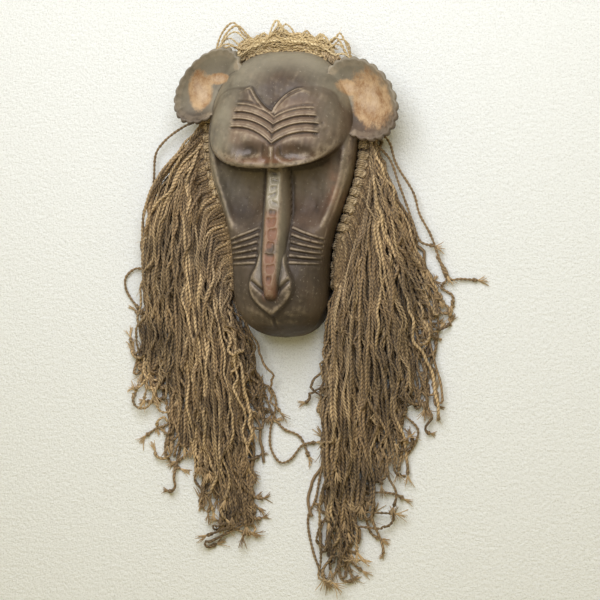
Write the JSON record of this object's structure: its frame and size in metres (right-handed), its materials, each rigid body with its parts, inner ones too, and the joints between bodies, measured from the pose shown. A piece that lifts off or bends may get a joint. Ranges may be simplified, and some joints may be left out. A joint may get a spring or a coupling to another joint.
{
  "type": "carved wooden monkey mask",
  "caption": "Carved wooden monkey mask with a lobed brow, a long ribbed snout, round scalloped ears, a mane of twisted cords bound round the rim and raffia loops on top.",
  "frame": {"origin": "middle of the whole part's box, at the height of the flat back rim it lies on", "axes": "+Z out of the face, +Y towards the top of the head, +X towards the viewer's right when facing the mask"},
  "size_m": [0.3268, 0.5066, 0.0877],
  "materials": {
    "dark_wood": "dark, worn and dusty, satin on the high places, bare ochre wood inside the ears",
    "brown_cord": "matt plant-fibre cord, knotted",
    "twisted_cord": "matt two-ply twisted cord, dusty",
    "raffia": "matt straw-coloured fibre"
  },
  "bodies": {
    "root": {"mask": "dark_wood", "rim_rope": "brown_cord", "mane_left": "twisted_cord", "mane_right": "twisted_cord", "crest": "raffia"}
  },
  "joints": []
}
